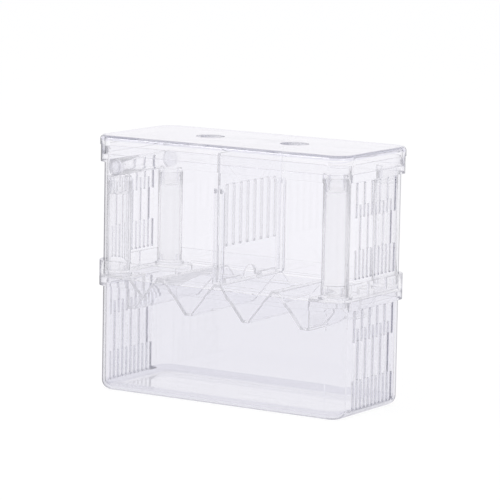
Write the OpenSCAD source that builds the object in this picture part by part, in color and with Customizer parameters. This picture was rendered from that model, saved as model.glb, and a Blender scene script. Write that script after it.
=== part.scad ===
/* [Rims] */
// Length over the flanges, the tray rim and the lid skirt
rim_l = 195; // [185:1:205]
// Depth over the flanges, the tray rim and the lid skirt
rim_d = 88; // [84:1:94]
// Corner radius of the rims, seen from above
rim_r = 13; // [12:0.5:14.5]
// How far the walls stand inside the rims
rim_step = 2.6; // [2.4:0.1:3]
// Thickness of the box walls
wall_t = 1.8; // [1.5:0.1:2.2]
// Gap at each side where one piece slips inside another
slip_gap = 0.3; // [0.2:0.05:0.5]

/* [Lower box] */
// Height of the lower box, up to the top of its flange
lower_h = 77.5; // [70:0.5:90]
// Height of the lower flange
lower_flange_h = 6.2; // [4:0.1:8]
// Thickness of the floor
floor_t = 2.2; // [1.8:0.1:3]
// Radius of the rounded bottom edge
floor_r = 6.5; // [4:0.5:8]

/* [V tray] */
// Thickness of the flat deck round the troughs
deck_t = 1.5; // [1.2:0.1:2]
// Height of the tray's rim above the lower flange
tray_rim_h = 11; // [9:0.5:14]
// How far the locating lip reaches down into the lower box
lip_h = 4; // [3:0.5:6]
// Number of troughs
trough_count = 4; // [3:1:5]
// Depth of the troughs below the lower flange's top
trough_drop = 20.1; // [16:0.1:24]
// Thickness of the trough sheet
sheet_t = 1.5; // [1.2:0.1:1.8]
// Width of the flat land at the bottom of a trough
land_w = 5; // [4.4:0.1:6]
// Width of the slit that the fry drop through
fry_slit_w = 2.4; // [1.6:0.1:2.8]
// Height of the ridges above the deck
ridge_h = 1.7; // [1:0.1:2.5]
// Width of the flat top of a ridge
ridge_w = 5; // [4:0.5:7]
// Flat strip between the last trough and the wall, at each end
end_strip = 3.5; // [3:0.5:5]
// Length of the flat corner seats, across the tray
corner_seat = 19.8; // [19.4:0.2:21]
// Width of the springy tab in each short side of the rim
tab_w = 22.6; // [16:0.2:28]
// Width of the slits at both sides of a tab
tab_slit_w = 1.2; // [0.8:0.1:2]

/* [Upper box] */
// Height of the upper box's walls
upper_h = 87.2; // [80:0.2:100]
// Height of the neck above the upper flange, which the lid fits over
neck_h = 6; // [4.5:0.1:8]
// Height of the upper flange
upper_flange_h = 5.3; // [4:0.1:7]
// Thickness of the corner shelves that carry the floats
shelf_t = 1.2; // [1:0.1:2]
// Margin of a corner shelf round its float
shelf_margin = 1.4; // [1:0.1:1.8]

/* [End slots] */
// Width of a slot
slot_w = 1.8; // [1.4:0.1:2.4]
// Distance from the last slot's middle to the curve of the corner
slot_edge = 4.55; // [2:0.05:6]
// Number of slots side by side
slot_count = 11; // [7:2:11]
// How far the slots and tabs lie off the middle, behind it on the right and before it on the left
end_shift = 2.1; // [0:0.1:3.2]
// Height of the first slot row above the bottom of the lower box
lower_slot_z = 5; // [4:0.5:8]
// Length of the short slots
short_slot_l = 19.2; // [14:0.2:22]
// Length of the long slots in the lower box
lower_long_slot_l = 53.2; // [40:0.2:56]
// Length of the long slots in the upper box
upper_long_slot_l = 48.6; // [36:0.2:52]
// Height of the first slot row above the bottom of the upper box
upper_slot_z = 11.8; // [8:0.2:14]
// Overlap of the long slots and the top row
slot_lap = 8.4; // [5:0.2:10]

/* [Floats] */
// Radius of an upright float tube
tube_r = 8.35; // [7.5:0.05:8.4]
// Thickness of the float tubes' walls
tube_t = 1.4; // [1.1:0.1:1.8]
// Gap between an upright tube and the corner's inner wall
tube_gap = 0.25; // [0.2:0.05:0.5]
// Length of the two left tubes, which carry the cross float
left_tube_l = 60.7; // [50:0.1:64]
// Length of the two right tubes, which reach up into the flange
right_tube_l = 75.8; // [50:0.1:82]
// Gap round a spigot in its tube
spigot_gap = 0.05; // [0.03:0.01:0.1]
// Height of a foot cap's disc
foot_h = 1.4; // [1:0.1:3]
// Length of a foot cap's spigot
foot_spigot_l = 4; // [3:0.1:6]
// Height of a plug's head
plug_head_h = 2.5; // [1.8:0.1:4]
// Length of a plug's hollow skirt
plug_skirt_l = 9.1; // [7:0.1:12]
// Radius of the recess in a plug and in a foot cap
recess_r = 5; // [3.5:0.1:5.2]
// Radius of the cross float
cross_r = 5.9; // [4.5:0.1:6.2]
// Wall of the cross float
cross_t = 1.2; // [1:0.1:1.6]
// Gap between the cross float's end caps and the long walls
cross_end_gap = 5.6; // [4.5:0.1:9]
// Thickness of the cross float's end caps
cross_cap_t = 2; // [1.5:0.1:3]
// Length of the spigots on the cross float's end caps
cross_spigot_l = 3; // [2:0.1:5]
// Gap between the cross float and the end wall
cross_gap = 1.2; // [0.8:0.1:2]
// Gap between the cross float and the plugs that it lies on
rest_gap = 0.1; // [0.05:0.05:0.3]

/* [Divider] */
// Thickness of the divider
divider_t = 2; // [1.6:0.1:2.4]
// Gap between the divider and the lid
divider_top_gap = 3; // [1:0.1:6]
// Gap between the divider's edges and the long walls
divider_side_gap = 0.7; // [0.4:0.1:1.2]
// Width of the divider's slots
divider_slot_w = 2; // [1.4:0.1:2.8]
// Distance between the divider's slots
divider_slot_pitch = 8.6; // [8:0.1:9.6]
// Number of slots in the divider
divider_slot_count = 8; // [4:1:8]
// Height of the slots' lower ends above the divider's bottom
divider_slot_z = 23; // [16:0.5:30]
// Length of the divider's slots
divider_slot_l = 41; // [30:1:50]
// Radius of the arch in the divider's bottom edge
arch_r = 7.35; // [5:0.05:9]
// Gap between the divider's feet and the guide ribs
foot_end_gap = 4.3; // [1:0.1:10]
// Gap between the divider's feet and its arch
foot_arch_gap = 4.5; // [2:0.1:8]
// Width of the divider's feet
foot_w = 4.6; // [3.6:0.1:6]
// Height of the divider's feet
foot_block_h = 2.6; // [2:0.1:4]
// Width of a guide rib
rib_w = 2; // [1.6:0.1:3]
// Depth of a guide rib
rib_d = 3.5; // [2.5:0.1:5]
// Height of the guide ribs
rib_h = 59.5; // [40:0.5:66]
// Play of the divider between its guide ribs
guide_gap = 0.3; // [0.2:0.05:0.5]
// Thickness of the stop that the divider stands on
stop_t = 1.2; // [1:0.1:1.6]

/* [Lid] */
// Height of the lid's thick top part
lid_top_h = 6.5; // [5.5:0.1:8]
// Thickness of the lid's plate
lid_t = 2.2; // [1.8:0.1:2.4]
// How far the lid's top part stands out over its skirt
lid_lip = 0.5; // [0.3:0.1:1]
// Radius of the lid's rounded top edge
lid_edge_r = 3; // [2:0.1:3.5]
// Radius of the holes in the lid
lid_hole_r = 9.5; // [7:0.1:12]
// Distance between the holes in the lid
lid_hole_pitch = 66; // [50:1:90]

/* [Hidden] */
$fn = 64;
// Extra length of a cutter past the face that it opens
over = 1;

// Walls, the same for both boxes
wall_l = rim_l - 2 * rim_step;
wall_d = rim_d - 2 * rim_step;
wall_r = rim_r - rim_step;
in_l = wall_l - 2 * wall_t;
in_d = wall_d - 2 * wall_t;
in_r = wall_r - wall_t;

// Levels
deck_z = lower_h + deck_t;
trough_z = lower_h - trough_drop;
ridge_z = deck_z + ridge_h;
upper_z = deck_z;
neck_top_z = upper_z + upper_h;
upper_flange_z = neck_top_z - neck_h;
tray_top_z = lower_h + tray_rim_h;
lid_top_z = neck_top_z + lid_top_h;

// End slots
slot_pitch = 2 * (wall_d / 2 - wall_r - end_shift - slot_edge) / (slot_count - 1);

// Troughs
trough_in_l = in_l - 2 * slip_gap;
trough_in_d = in_d - 2 * slip_gap;
half_pitch = (in_l - 2 * end_strip) / trough_count / 2;
end_trough_x = half_pitch * (trough_count - 1);
ridge_side = half_pitch - ridge_w / 2;
sheet_rise = ridge_z - sheet_t - trough_z;
sheet_mitre = sheet_t * tan(atan2(sheet_rise, ridge_side - land_w / 2) / 2);
sheet_slope = sheet_rise / (ridge_side + sheet_mitre - land_w / 2);
seat_wall_x = land_w / 2 + sheet_t + 0.3;
open_half_d = in_d / 2 - corner_seat;

// Floats
tube_inset = max(in_r, tube_r + tube_gap);
tube_x = in_l / 2 - tube_inset;
tube_y = in_d / 2 - tube_inset;
foot_z = upper_z + shelf_t;
tube_z = foot_z + foot_h;
left_plug_z = tube_z + left_tube_l;
spigot_r = tube_r - tube_t - spigot_gap;
cross_x = in_l / 2 - cross_gap - cross_r;
cross_z = left_plug_z + plug_head_h + rest_gap + cross_r;
cross_tube_l = in_d - 2 * cross_end_gap - 2 * cross_cap_t;

// Divider and its guides
rib_z = ridge_z + slip_gap;
divider_z = rib_z + stop_t;
divider_h = lid_top_z - lid_t - divider_top_gap - divider_z;
guide_half = divider_t / 2 + guide_gap;
divider_d = in_d - 2 * divider_side_gap;
foot_z0 = ridge_z + slip_gap;
foot_in_y = arch_r + foot_arch_gap;
foot_l = in_d / 2 - rib_d - foot_end_gap - foot_in_y;

module on_corners(x, y) {
    for (side_x = [-1, 1]) for (side_y = [-1, 1]) translate([side_x * x, side_y * y]) children();
}

module rounded_outline(l, d, r) {
    square([l - 2 * r, d], center = true);
    square([l, d - 2 * r], center = true);
    on_corners(l / 2 - r, d / 2 - r) circle(r);
}

module rounded_plate(l, d, r, h) {
    linear_extrude(h) rounded_outline(l, d, r);
}

module rounded_frame(l, d, r, t, h) {
    linear_extrude(h) difference() {
        rounded_outline(l, d, r);
        rounded_outline(l - 2 * t, d - 2 * t, r - t);
    }
}

module edge_profile(r, f, h) {
    translate([0, f]) square([r, h - f]);
    square([r - f, f]);
    translate([r - f, f]) intersection() {
        circle(f);
        translate([0, -f]) square(f);
    }
}

// Rounded block whose bottom edge has the radius f
module soft_block(l, d, r, f, h) {
    rotate([90, 0, 0]) linear_extrude(d - 2 * r, center = true)
        for (x = [0, 1]) mirror([x, 0]) translate([l / 2 - r, 0]) edge_profile(r, f, h);
    translate([0, 0, h / 2]) cube([l - 2 * r, d - 2 * r, h], center = true);
    rotate([90, 0, 90]) linear_extrude(l - 2 * r, center = true)
        for (x = [0, 1]) mirror([x, 0]) translate([d / 2 - r, 0]) edge_profile(r, f, h);
    for (x = [0, 1]) for (y = [0, 1]) mirror([x, 0, 0]) mirror([0, y, 0])
        translate([l / 2 - r, d / 2 - r, 0]) rotate_extrude(angle = 90) edge_profile(r, f, h);
}

module upright_slot(w, z0, z1) {
    translate([-w / 2, z0 + w / 2]) square([w, z1 - z0 - w]);
    for (z = [z0 + w / 2, z1 - w / 2]) translate([0, z]) circle(w / 2);
}

// Cutters for both short sides: short slots in a low and a top row, long ones between them
module end_slots(z0, long_l, top_z) {
    for (side = [-1, 1]) translate([side * wall_l / 2, side * end_shift, 0])
        rotate([90, 0, 90]) linear_extrude(4 * wall_t, center = true)
            for (i = [0 : slot_count - 1]) translate([(i - (slot_count - 1) / 2) * slot_pitch, 0])
                if (i % 2 == 1) upright_slot(slot_w, z0, z0 + long_l);
                else {
                    upright_slot(slot_w, z0, z0 + short_slot_l);
                    upright_slot(slot_w, z0 + long_l - slot_lap, top_z);
                }
}

module lower_box() {
    flange_z = lower_h - lower_flange_h;
    color("lightsteelblue") difference() {
        union() {
            soft_block(wall_l, wall_d, wall_r, floor_r, lower_h);
            translate([0, 0, flange_z])
                rounded_frame(rim_l, rim_d, rim_r, rim_step + wall_t / 2, lower_flange_h);
        }
        translate([0, 0, floor_t])
            soft_block(in_l, in_d, in_r, floor_r - wall_t, lower_h - floor_t + over);
        end_slots(lower_slot_z, lower_long_slot_l, flange_z - slot_w / 2);
    }
}

function half_sheet() = [
    [0, trough_z], [land_w / 2, trough_z],
    [ridge_side + sheet_mitre, ridge_z - sheet_t], [half_pitch, ridge_z - sheet_t],
    [half_pitch, ridge_z], [ridge_side, ridge_z],
    [land_w / 2 - sheet_mitre, trough_z + sheet_t], [0, trough_z + sheet_t]];

function half_fill() = [
    [0, trough_z], [land_w / 2, trough_z],
    [ridge_side + sheet_mitre, ridge_z - sheet_t], [half_pitch, ridge_z - sheet_t],
    [half_pitch, ridge_z], [0, ridge_z]];

// One trough: the bent sheet with its two end faces
module trough() {
    for (side = [0, 1]) mirror([side, 0, 0]) {
        rotate([90, 0, 0]) linear_extrude(trough_in_d, center = true) polygon(half_sheet());
        for (y = [-1, 1]) translate([0, y * (trough_in_d - sheet_t) / 2, 0])
            rotate([90, 0, 0]) linear_extrude(sheet_t, center = true) polygon(half_fill());
    }
}

module below_deck() {
    intersection() {
        children();
        translate([0, trough_z]) square([half_pitch, deck_z - trough_z]);
    }
}

// Outer half of an end trough, which steps in round the corner seats
module end_half_trough() {
    rotate([90, 0, 0]) linear_extrude(2 * open_half_d, center = true) below_deck() polygon(half_sheet());
    for (y = [-1, 1]) translate([0, y * (open_half_d - sheet_t / 2), 0])
        rotate([90, 0, 0]) linear_extrude(sheet_t, center = true) below_deck() difference() {
            polygon(half_fill());
            square([seat_wall_x - sheet_t, ridge_z]);
        }
    difference() {
        translate([0, -trough_in_d / 2, trough_z]) cube([seat_wall_x, trough_in_d, deck_z - trough_z]);
        translate([-over, -trough_in_d / 2 + sheet_t, trough_z + sheet_t])
            cube([seat_wall_x - sheet_t + over, trough_in_d - 2 * sheet_t, deck_z - trough_z]);
        translate([-over, -open_half_d + sheet_t, trough_z - over])
            cube([seat_wall_x + 2 * over, 2 * (open_half_d - sheet_t), deck_z - trough_z + 2 * over]);
    }
    for (y = [-1, 1]) translate([seat_wall_x / 2, y * (trough_in_d - sheet_t) / 2, (deck_z + ridge_z) / 2])
        cube([seat_wall_x, sheet_t, ridge_z - deck_z], center = true);
}

module deck() {
    end_x = end_trough_x + land_w / 2 + (lower_h - trough_z) / sheet_slope;
    seat_x = end_trough_x + seat_wall_x - sheet_t;
    difference() {
        rounded_plate(rim_l, rim_d, rim_r, deck_t);
        translate([0, 0, deck_t / 2]) {
            cube([2 * seat_x, trough_in_d - 2 * sheet_t, 3 * deck_t], center = true);
            cube([2 * end_x, 2 * (open_half_d - sheet_t), 3 * deck_t], center = true);
        }
    }
}

module v_tray() {
    rim_in_t = rim_step - slip_gap;
    slit_l = trough_in_d - 2 * sheet_t - 2;
    tab_cut_z = (deck_z + tray_top_z + over) / 2;
    color("powderblue") difference() {
        union() {
            translate([0, 0, lower_h]) deck();
            translate([0, 0, lower_h]) rounded_frame(rim_l, rim_d, rim_r, rim_in_t, tray_rim_h);
            translate([0, 0, lower_h - lip_h])
                rounded_frame(trough_in_l, trough_in_d, in_r - slip_gap, sheet_t, lip_h + deck_t / 2);
            for (i = [1 : 1 : trough_count - 2])
                translate([(2 * i - trough_count + 1) * half_pitch, 0, 0]) trough();
            for (side = [0, 1]) mirror([side, 0, 0]) translate([end_trough_x, 0, 0]) {
                end_half_trough();
                mirror([1, 0, 0]) intersection() {
                    trough();
                    translate([0, -rim_d / 2, 0]) cube([half_pitch, rim_d, ridge_z + over]);
                }
            }
        }
        for (i = [0 : trough_count - 1])
            translate([(2 * i - trough_count + 1) * half_pitch, 0, trough_z + sheet_t / 2])
                cube([fry_slit_w, slit_l, 3 * sheet_t], center = true);
        for (side = [-1, 1]) for (edge = [-1, 1])
            translate([side * rim_l / 2, side * end_shift + edge * tab_w / 2, tab_cut_z])
                cube([4 * rim_step, tab_slit_w, tray_top_z - deck_z + over], center = true);
    }
}

module guide_ribs() {
    wall_y = in_d / 2;
    for (side_x = [0, 1]) for (side_y = [0, 1]) mirror([side_x, 0, 0]) mirror([0, side_y, 0]) {
        translate([guide_half, 0, 0]) rotate([90, 0, 90]) linear_extrude(rib_w) polygon([
            [wall_y + wall_t / 2, rib_z], [wall_y - rib_d, rib_z], [wall_y - rib_d, rib_z + rib_h],
            [wall_y, rib_z + rib_h + rib_d], [wall_y + wall_t / 2, rib_z + rib_h + rib_d]]);
        translate([0, wall_y - rib_d, rib_z]) cube([guide_half + rib_w / 2, rib_d + wall_t / 2, stop_t]);
    }
}

module upper_box() {
    flange_bottom_z = upper_flange_z - upper_flange_h;
    color("lightblue") difference() {
        union() {
            translate([0, 0, upper_z]) rounded_frame(wall_l, wall_d, wall_r, wall_t, upper_h);
            translate([0, 0, flange_bottom_z])
                rounded_frame(rim_l, rim_d, rim_r, rim_step + wall_t / 2, upper_flange_h);
            guide_ribs();
            translate([0, 0, upper_z]) intersection() {
                rounded_plate(wall_l - wall_t, wall_d - wall_t, wall_r - wall_t / 2, shelf_t);
                on_corners(tube_x, tube_y) cylinder(r = tube_r + shelf_margin, h = shelf_t);
            }
        }
        end_slots(upper_z + upper_slot_z, upper_long_slot_l, flange_bottom_z - slot_w / 2);
    }
}

module divider() {
    color("azure") difference() {
        union() {
            translate([0, 0, divider_z + divider_h / 2])
                cube([divider_t, divider_d, divider_h], center = true);
            for (side = [0, 1]) mirror([0, side, 0])
                translate([-foot_w / 2, foot_in_y, foot_z0]) cube([foot_w, foot_l, foot_block_h]);
        }
        rotate([90, 0, 90]) linear_extrude(4 * foot_w, center = true) {
            translate([0, divider_z]) circle(arch_r);
            translate([-(divider_slot_count - 1) / 2 * divider_slot_pitch, divider_z + divider_slot_z])
                for (i = [0 : divider_slot_count - 1])
                    translate([i * divider_slot_pitch, 0]) upright_slot(divider_slot_w, 0, divider_slot_l);
        }
    }
}

module lid() {
    skirt_in_l = wall_l + 2 * slip_gap;
    skirt_in_d = wall_d + 2 * slip_gap;
    skirt_h = neck_h + lid_top_h - lid_t;
    color("aliceblue") difference() {
        union() {
            translate([0, 0, lid_top_z]) mirror([0, 0, 1])
                soft_block(rim_l + 2 * lid_lip, rim_d + 2 * lid_lip, rim_r + lid_lip, lid_edge_r, lid_top_h);
            translate([0, 0, upper_flange_z]) rounded_plate(rim_l, rim_d, rim_r, neck_h + lid_top_h / 2);
        }
        translate([0, 0, upper_flange_z - over])
            rounded_plate(skirt_in_l, skirt_in_d, wall_r + slip_gap, skirt_h + over);
        for (side = [-1, 1]) translate([side * lid_hole_pitch / 2, 0, lid_top_z - lid_t - over])
            cylinder(r = lid_hole_r, h = lid_t + 2 * over);
    }
}

function tube_l(side_x) = side_x < 0 ? left_tube_l : right_tube_l;

module float_tube(side_x, side_y) {
    color("paleturquoise") translate([side_x * tube_x, side_y * tube_y, tube_z]) difference() {
        cylinder(r = tube_r, h = tube_l(side_x));
        translate([0, 0, -over]) cylinder(r = tube_r - tube_t, h = tube_l(side_x) + 2 * over);
    }
}

module float_plug(side_x, side_y) {
    color("lavender") translate([side_x * tube_x, side_y * tube_y, tube_z + tube_l(side_x)]) difference() {
        union() {
            cylinder(r = tube_r, h = plug_head_h);
            translate([0, 0, -plug_skirt_l]) cylinder(r = spigot_r, h = plug_skirt_l + plug_head_h / 2);
        }
        translate([0, 0, -plug_skirt_l + tube_t]) cylinder(r = recess_r, h = plug_skirt_l + plug_head_h);
    }
}

module float_foot(side_x, side_y) {
    color("lavender") translate([side_x * tube_x, side_y * tube_y, foot_z]) difference() {
        union() {
            cylinder(r = tube_r, h = foot_h);
            cylinder(r = spigot_r, h = foot_h + foot_spigot_l);
        }
        translate([0, 0, foot_h]) cylinder(r = recess_r, h = foot_spigot_l + over);
    }
}

module cross_float() {
    color("paleturquoise") translate([-cross_x, 0, cross_z]) rotate([90, 0, 0]) difference() {
        cylinder(r = cross_r, h = cross_tube_l, center = true);
        cylinder(r = cross_r - cross_t, h = cross_tube_l + 2 * over, center = true);
    }
}

module cross_cap(side_y) {
    color("lavender") translate([-cross_x, side_y * cross_tube_l / 2, cross_z])
        rotate([-90 * side_y, 0, 0]) {
            cylinder(r = cross_r, h = cross_cap_t);
            translate([0, 0, -cross_spigot_l])
                cylinder(r = cross_r - cross_t - spigot_gap, h = cross_spigot_l + cross_cap_t / 2);
        }
}

lower_box();
v_tray();
upper_box();
divider();
lid();
float_tube(-1, -1);  // float_tube_front_left
float_tube(1, -1);  // float_tube_front_right
float_tube(-1, 1);  // float_tube_back_left
float_tube(1, 1);  // float_tube_back_right
float_plug(-1, -1);  // float_plug_front_left
float_plug(1, -1);  // float_plug_front_right
float_plug(-1, 1);  // float_plug_back_left
float_plug(1, 1);  // float_plug_back_right
float_foot(-1, -1);  // float_foot_front_left
float_foot(1, -1);  // float_foot_front_right
float_foot(-1, 1);  // float_foot_back_left
float_foot(1, 1);  // float_foot_back_right
cross_float();  // cross_float_left
cross_cap(-1);  // cross_cap_left_front
cross_cap(1);  // cross_cap_left_back
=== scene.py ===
import bmesh
import bpy
import math
from mathutils import Matrix, Vector

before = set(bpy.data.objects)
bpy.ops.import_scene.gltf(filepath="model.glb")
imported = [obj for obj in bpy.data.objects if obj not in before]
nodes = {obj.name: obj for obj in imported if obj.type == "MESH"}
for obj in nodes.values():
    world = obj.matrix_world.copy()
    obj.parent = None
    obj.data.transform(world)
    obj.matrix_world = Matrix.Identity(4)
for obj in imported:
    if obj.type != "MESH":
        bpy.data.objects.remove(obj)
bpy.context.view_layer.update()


def linearColor(hexText):
    # sRGB hex to the linear values that the sockets take
    parts = [int(hexText[i:i + 2], 16) / 255 for i in (1, 3, 5)]
    return tuple(p / 12.92 if p <= 0.04045 else ((p + 0.055) / 1.055) ** 2.4 for p in parts) + (1.0,)


def addNode(tree, kind, settings=None, links=None):
    # settings: attributes by name or socket values; links: {socket: output socket}
    node = tree.nodes.new(kind)
    for key, value in (settings or {}).items():
        if isinstance(key, str) and hasattr(node, key) and key not in node.inputs:
            setattr(node, key, value)
        else:
            node.inputs[key].default_value = value
    for key, output in (links or {}).items():
        tree.links.new(output, node.inputs[key])
    return node


def mixTones(tree, share, first, second):
    # first and second: a colour in hex, or the output socket of another tone
    mix = addNode(tree, "ShaderNodeMix", {"data_type": "RGBA"}, {0: share})
    for socket, tone in ((mix.inputs[6], first), (mix.inputs[7], second)):
        if isinstance(tone, str):
            socket.default_value = linearColor(tone)
        else:
            tree.links.new(tone, socket)
    return mix.outputs[2]


def newMaterial(name):
    material = bpy.data.materials.new(name)
    material.use_nodes = True
    material.node_tree.nodes.clear()
    return material, material.node_tree


print("plastics")

# Where the faces lie that take a painted shade of their own, in metres from the middle of the underside.
# Both ends and both long sides are alike, so that no sign is needed
facePlaces = {
    "wallInside": 0.09305,  # along X, just inside the short walls
    "slotsEnd": 0.033,  # along Y, between the last slot and the rounded corner
    "dividerSlotsEnd": 0.035,  # along Y, past the divider's last slot
    "lidPlateUnder": 0.1703,  # along Z, just below the plate of the lid
    "lidLongSide": 0.0405,  # along Y, keeps to the long sides, away from the two round holes
    "turnedThere": 0.5,  # part of a face's normal along an axis, from which it counts as turned that way
}
# Each test: place ("at") or normal ("turn"), axis, the kind of comparison, and its limit
slotSides = (
    ("turn", "Y", "GREATER_THAN", facePlaces["turnedThere"]),
    ("at", "X", "GREATER_THAN", facePlaces["wallInside"]),
    ("at", "Y", "LESS_THAN", facePlaces["slotsEnd"]),
)
dividerSlotSides = (
    ("turn", "Y", "GREATER_THAN", facePlaces["turnedThere"]),
    ("at", "Y", "LESS_THAN", facePlaces["dividerSlotsEnd"]),
)
lidRim = (
    ("turn", "Z", "LESS_THAN", facePlaces["turnedThere"]),
    ("at", "Z", "GREATER_THAN", facePlaces["lidPlateUnder"]),
    ("at", "Y", "GREATER_THAN", facePlaces["lidLongSide"]),
)

# Clear polystyrene, injection moulded: a hard wet-looking gloss with fine grey lines at every edge, which
# are partly painted shade, and slow ripples where the melt ran, which make the lines behind it waver
boxLook = {
    "name": "clearMouldedStyrene",
    "surface": "#FCFCFD", "bendShade": "#EFEFF3", "flat": "#FDFDFD",  # upright faces, rounded faces in painted shade, level faces painted a touch paler as lit
    "bendStops": (0.0, 0.06, 0.96, 0.995),  # how level a face is where those tones meet
    "grazingShade": "#101018", "grazingPower": 4, "grazingShare": 8.0,  # painted shade on rounded corners seen nearly edge on
    "depth": "#C8C8D8", "density": 2.2,
    "ior": 1.55, "roughness": 0.03,
    "ripple": (14, 14, 30), "rippleHeight": 0.00004,  # length in mm along X, Y and Z, and height in m
    "patch": slotSides, "patchShade": "#F5F5F8", "patchRoughness": 0.2,  # slot sides, left dull by the mould and painted in grey shade
}
# The lower box is the heaviest moulding: a shade greyer, with the streaks of the flow in its floor
lowerLook = dict(
    boxLook, name="clearMouldedStyreneThick", surface="#F6F6F8", bendShade="#E8E8ED", patchShade="#ECECF1",
    ripple=(60, 8, 30), rippleHeight=0.00003,
)
# The tray is thin sheet: paler, and its mitred troughs show as soft bands of faint painted shade
trayLook = dict(
    boxLook, name="clearTrayStyrene", surface="#FEFEFE", bendShade="#FDFDFE", grazingShade="#60606C",
    density=0.8, ior=1.3, ripple=(9, 40, 9), patch=None,
)
# The divider is a plain flat moulding: the same gloss, with a painted shade on its slot sides paler than on
# those of the walls
dividerLook = dict(
    boxLook, name="clearDividerStyrene", bendShade="#FCFCFD", density=1.2, ripple=(20, 12, 40),
    patch=dividerSlotSides, patchShade="#FAFAFC",
)
# The lid is polished: a painted white sheen on top and a painted lavender line of shade where its plate is
# seen end on
lidLook = dict(
    boxLook, name="clearLidStyrene", surface="#FEFEFE", flat="#FEFEFE", bendShade="#E8E8F1",
    ripple=(40, 18, 20), patch=lidRim, patchShade="#E4E4ED", patchRoughness=0.03,
)
# Clear acrylic tube, extruded: straight draw lines along its length, and painted shade on its sides seen
# edge on
tubeLook = dict(
    boxLook, name="clearExtrudedAcrylic", surface="#FCFCFC", bendShade="#FCFCFC", ior=1.35, density=1.0,
    grazingShade="#50505E", grazingPower=7, ripple=(2.4, 2.4, 80), patch=None,
)
# The level float is a thinner tube: paler, with its draw lines along Y
crossLook = dict(
    tubeLook, name="clearExtrudedAcrylicLevel", surface="#FFFFFF", bendShade="#FFFFFF", ior=1.1,
    density=0.5, grazingShade="#E4E4EC", ripple=(2.4, 80, 2.4),
)
# Clear moulded caps: softer plastic with a slightly dull skin
capLook = dict(
    boxLook, name="clearMouldedCap", surface="#FFFFFF", bendShade="#FFFFFF", ior=1.15, density=0.5,
    grazingShade="#D8D8E4", roughness=0.08, ripple=(4, 4, 4), patch=None,
)
# The end caps are left matt by the mould, so their round faces look faintly frosted
endCapLook = dict(capLook, name="clearMouldedEndCap", surface="#F5F5F8", ior=1.22, roughness=0.22)


def whereAllHold(tree, tests, measures):
    # 1 on the faces that pass every test, 0 elsewhere
    found = None
    for source, axis, comparison, limit in tests:
        part = addNode(tree, "ShaderNodeMath", {"operation": comparison, 1: limit}, {
            0: measures[source].outputs[axis],
        })
        if found:
            part = addNode(tree, "ShaderNodeMath", {"operation": "MULTIPLY"}, {
                0: found.outputs[0], 1: part.outputs[0],
            })
        found = part
    return found.outputs[0]


def clearPlastic(s):
    material, tree = newMaterial(s["name"])
    place = addNode(tree, "ShaderNodeTexCoord")
    face = addNode(tree, "ShaderNodeNewGeometry")
    measures = {}
    for measure, output in (("at", place.outputs["Object"]), ("turn", face.outputs["True Normal"])):
        size = addNode(tree, "ShaderNodeVectorMath", {"operation": "ABSOLUTE"}, {0: output})
        measures[measure] = addNode(tree, "ShaderNodeSeparateXYZ", None, {0: size.outputs[0]})
    turn = measures["turn"]

    # slow ripples, longest along the flow
    spread = addNode(tree, "ShaderNodeMapping", {"Scale": tuple(1000 / mm for mm in s["ripple"])}, {
        "Vector": place.outputs["Object"],
    })
    flow = addNode(tree, "ShaderNodeTexNoise", {"Scale": 1.0, "Detail": 1.0, "Roughness": 0.4}, {
        "Vector": spread.outputs[0],
    })
    bump = addNode(tree, "ShaderNodeBump", {"Strength": 1.0, "Distance": s["rippleHeight"]}, {
        "Height": flow.outputs["Fac"],
    })

    # painted shade on faces that bend between upright and level, where a wall meets the top or the floor;
    # painted light on level faces, a touch paler
    skin = addNode(tree, "ShaderNodeValToRGB", None, {0: turn.outputs["Z"]})
    for stopPlace, tone in zip(s["bendStops"], ("surface", "bendShade", "bendShade", "flat")):
        stop = skin.color_ramp.elements.new(stopPlace)
        stop.color = linearColor(s[tone])
    skin.color_ramp.elements.remove(skin.color_ramp.elements[-1])
    skin.color_ramp.elements.remove(skin.color_ramp.elements[0])

    # painted shade: a rounded upright corner is darker where it is seen nearly edge on
    facing = addNode(tree, "ShaderNodeLayerWeight")
    along = addNode(tree, "ShaderNodeMath", {"operation": "POWER", 1: s["grazingPower"]}, {
        0: facing.outputs["Facing"],
    })
    askew = addNode(tree, "ShaderNodeMath", {"operation": "MULTIPLY"}, {
        0: turn.outputs["X"], 1: turn.outputs["Y"],
    })
    corner = addNode(tree, "ShaderNodeMath", {"operation": "MULTIPLY", 1: s["grazingShare"]}, {
        0: askew.outputs[0],
    })
    edgeOn = addNode(tree, "ShaderNodeMath", {"operation": "MULTIPLY", "use_clamp": True}, {
        0: along.outputs[0], 1: corner.outputs[0],
    })
    tone = mixTones(tree, edgeOn.outputs[0], skin.outputs["Color"], s["grazingShade"])

    shell = addNode(tree, "ShaderNodeBsdfPrincipled", {
        "IOR": s["ior"],
        "Transmission Weight": 1.0,
        "Roughness": s["roughness"],
    }, {"Normal": bump.outputs[0]})
    # painted shade on the patch faces: the slot sides, or the lid's rim
    if s["patch"]:
        inPatch = whereAllHold(tree, s["patch"], measures)
        tone = mixTones(tree, inPatch, tone, s["patchShade"])
        if s["patchRoughness"] != s["roughness"]:
            dull = addNode(tree, "ShaderNodeMapRange", {
                "To Min": s["roughness"], "To Max": s["patchRoughness"],
            }, {"Value": inPatch})
            tree.links.new(dull.outputs[0], shell.inputs["Roughness"])
    tree.links.new(tone, shell.inputs["Base Color"])
    body = addNode(tree, "ShaderNodeVolumeAbsorption", {
        "Color": linearColor(s["depth"]), "Density": s["density"],
    })
    addNode(tree, "ShaderNodeOutputMaterial", None, {
        "Surface": shell.outputs[0], "Volume": body.outputs[0],
    })
    return material


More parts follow.
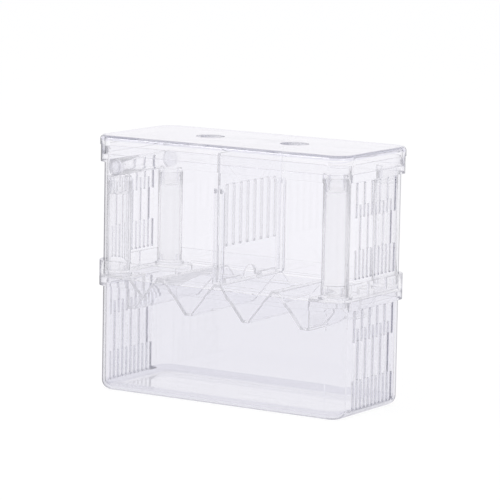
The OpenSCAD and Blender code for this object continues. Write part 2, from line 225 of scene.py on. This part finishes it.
plastics = {
    "lower_box": clearPlastic(lowerLook),
    "v_tray": clearPlastic(trayLook),
    "upper_box": clearPlastic(boxLook),
    "divider": clearPlastic(dividerLook),
    "lid": clearPlastic(lidLook),
    "float_tube": clearPlastic(tubeLook),
    "cross_float": clearPlastic(crossLook),
    "float_plug": clearPlastic(capLook),
    "cross_cap": clearPlastic(endCapLook),
}
plastics["float_foot"] = plastics["float_plug"]

edgeLook = {
    "merge": 0.000002,
    "round": 0.0003, "roundSteps": 2, "sharpFrom": 40,  # soft moulded edges, on corners over 40 degrees
    "airGap": 0.00002,  # real faces that touch still hold a film of air
}


def softenEdges(obj):
    weld = obj.modifiers.new("weld", "WELD")
    weld.merge_threshold = edgeLook["merge"]
    soften = obj.modifiers.new("soften", "BEVEL")
    soften.width = edgeLook["round"]
    soften.segments = edgeLook["roundSteps"]
    soften.limit_method = "ANGLE"
    soften.angle_limit = math.radians(edgeLook["sharpFrom"])
    shrink = obj.modifiers.new("airGap", "DISPLACE")
    shrink.mid_level = 0
    shrink.strength = -edgeLook["airGap"]


for name, obj in nodes.items():
    kind = next(k for k in plastics if name.startswith(k))
    obj.data.materials.clear()
    obj.data.materials.append(plastics[kind])
    softenEdges(obj)

print("room")

roomLook = {
    "floorHalf": 4.0,
    "backdrop": "#FFFFFF", "floorGlow": "#F6F6F6",  # what the camera sees beside the box
    "seenThrough": "#FCFBFF",  # what shows through the plastic and in its gloss
    "firstWall": 2.5,  # more steps of light than the two faces of a wall
    "edgeLight": 0.8, "edgeTurns": (1, 4),  # how far trapped light fades, and after how many turns
    "floorPaint": "#6A6A6A",  # takes the shadow
    "floorToBox": "#E6E6E8", "studioLight": "#BFBFC4",  # what the soft light on the box comes from
}


def roomLight(tree, path, directTone):
    # The room is white, and dims to grey for light that has turned a few times inside a wall, as light
    # trapped in an edge does
    inside = addNode(tree, "ShaderNodeMath", {"operation": "GREATER_THAN", 1: roomLook["firstWall"]}, {
        0: path.outputs["Ray Depth"],
    })
    turned = addNode(tree, "ShaderNodeMath", {"operation": "MULTIPLY"}, {
        0: inside.outputs[0], 1: path.outputs["Glossy Depth"],
    })
    fewTurns, manyTurns = roomLook["edgeTurns"]
    strength = addNode(tree, "ShaderNodeMapRange", {
        "From Min": fewTurns, "From Max": manyTurns, "To Min": 1.0, "To Max": roomLook["edgeLight"],
    }, {"Value": turned.outputs[0]})
    tone = mixTones(tree, path.outputs["Is Camera Ray"], roomLook["seenThrough"], directTone)
    return {"Color": tone, "Strength": strength.outputs[0]}


floorMesh = bpy.data.meshes.new("floor")
build = bmesh.new()
bmesh.ops.create_grid(build, x_segments=1, y_segments=1, size=roomLook["floorHalf"])
build.to_mesh(floorMesh)
build.free()
floor = bpy.data.objects.new("floor", floorMesh)
bpy.context.scene.collection.objects.link(floor)

# Matt white floor that also glows, so that it is pure white round the box and keeps a faint shadow
floorMaterial, tree = newMaterial("mattPaleFloor")
path = addNode(tree, "ShaderNodeLightPath")
glow = addNode(tree, "ShaderNodeEmission", None, roomLight(tree, path, roomLook["floorGlow"]))
paint = addNode(tree, "ShaderNodeBsdfDiffuse", {"Color": linearColor(roomLook["floorPaint"])})
lit = addNode(tree, "ShaderNodeAddShader", None, {0: glow.outputs[0], 1: paint.outputs[0]})
seen = addNode(tree, "ShaderNodeMixShader", None, {
    0: path.outputs["Is Camera Ray"], 1: glow.outputs[0], 2: lit.outputs[0],
})
plain = addNode(tree, "ShaderNodeBsdfDiffuse", {"Color": linearColor(roomLook["floorToBox"])})
both = addNode(tree, "ShaderNodeMixShader", None, {
    0: path.outputs["Is Diffuse Ray"], 1: seen.outputs[0], 2: plain.outputs[0],
})
addNode(tree, "ShaderNodeOutputMaterial", None, {"Surface": both.outputs[0]})
floorMesh.materials.append(floorMaterial)

world = bpy.data.worlds.new("studio")
bpy.context.scene.world = world
world.use_nodes = True
tree = world.node_tree
tree.nodes.clear()
path = addNode(tree, "ShaderNodeLightPath")
seen = addNode(tree, "ShaderNodeBackground", None, roomLight(tree, path, roomLook["backdrop"]))
lighting = addNode(tree, "ShaderNodeBackground", {"Color": linearColor(roomLook["studioLight"])})
both = addNode(tree, "ShaderNodeMixShader", None, {
    0: path.outputs["Is Diffuse Ray"], 1: seen.outputs[0], 2: lighting.outputs[0],
})
addNode(tree, "ShaderNodeOutputWorld", None, {"Surface": both.outputs[0]})

lampAim = Vector((0, 0, 0.09))  # near the middle of the box
lamps = {
    "keyLight": {"place": (-0.9, -1.2, 1.3), "size": (0.9, 0.6), "power": 9},
    "fillLight": {"place": (1.3, -0.7, 0.8), "size": (0.7, 0.7), "power": 5},
}
for name, s in lamps.items():
    lamp = bpy.data.lights.new(name, "AREA")
    lamp.shape = "RECTANGLE"
    lamp.size, lamp.size_y = s["size"]
    lamp.energy = s["power"]
    holder = bpy.data.objects.new(name, lamp)
    bpy.context.scene.collection.objects.link(holder)
    holder.location = s["place"]
    holder.visible_transmission = False  # no hot spots where the plastic bends the lamp's light
    holder.rotation_mode = "QUATERNION"
    holder.rotation_quaternion = (lampAim - Vector(s["place"])).to_track_quat("-Z", "Y")

print("camera")

cameraPlan = {
    "azimuth": 32.25, "elevation": 8.29, "roll": 1.08,  # degrees
    "distance": 2.2072, "targetZ": 0.099, "slide": -0.00007,  # metres
    "focalPixels": 3317.3, "picturePixels": 500, "sensor": 36,  # the sensor's width in mm
}


def placeCamera(c):
    a, e, r = (math.radians(c[k]) for k in ("azimuth", "elevation", "roll"))
    back = Vector((math.sin(a) * math.cos(e), -math.cos(a) * math.cos(e), math.sin(e)))
    level = Vector((math.cos(a), math.sin(a), 0))
    rise = back.cross(level)
    right = math.cos(r) * level + math.sin(r) * rise
    up = -math.sin(r) * level + math.cos(r) * rise
    data = bpy.data.cameras.new("camera")
    data.sensor_width = c["sensor"]
    data.lens = c["sensor"] * c["focalPixels"] / c["picturePixels"]
    camera = bpy.data.objects.new("camera", data)
    bpy.context.scene.collection.objects.link(camera)
    place = Vector((0, 0, c["targetZ"])) + c["slide"] * level + c["distance"] * back
    turn = Matrix((right, up, back)).transposed().to_4x4()
    camera.matrix_world = Matrix.Translation(place) @ turn
    bpy.context.scene.camera = camera


placeCamera(cameraPlan)

clearBounces = {"plastic": 400, "transparent": 40}  # fewer leave black edges, where light turns in a wall
scene = bpy.context.scene
scene.view_settings.view_transform = "Standard"
scene.cycles.max_bounces = clearBounces["plastic"]
scene.cycles.glossy_bounces = clearBounces["plastic"]
scene.cycles.transmission_bounces = clearBounces["plastic"]
scene.cycles.transparent_max_bounces = clearBounces["transparent"]
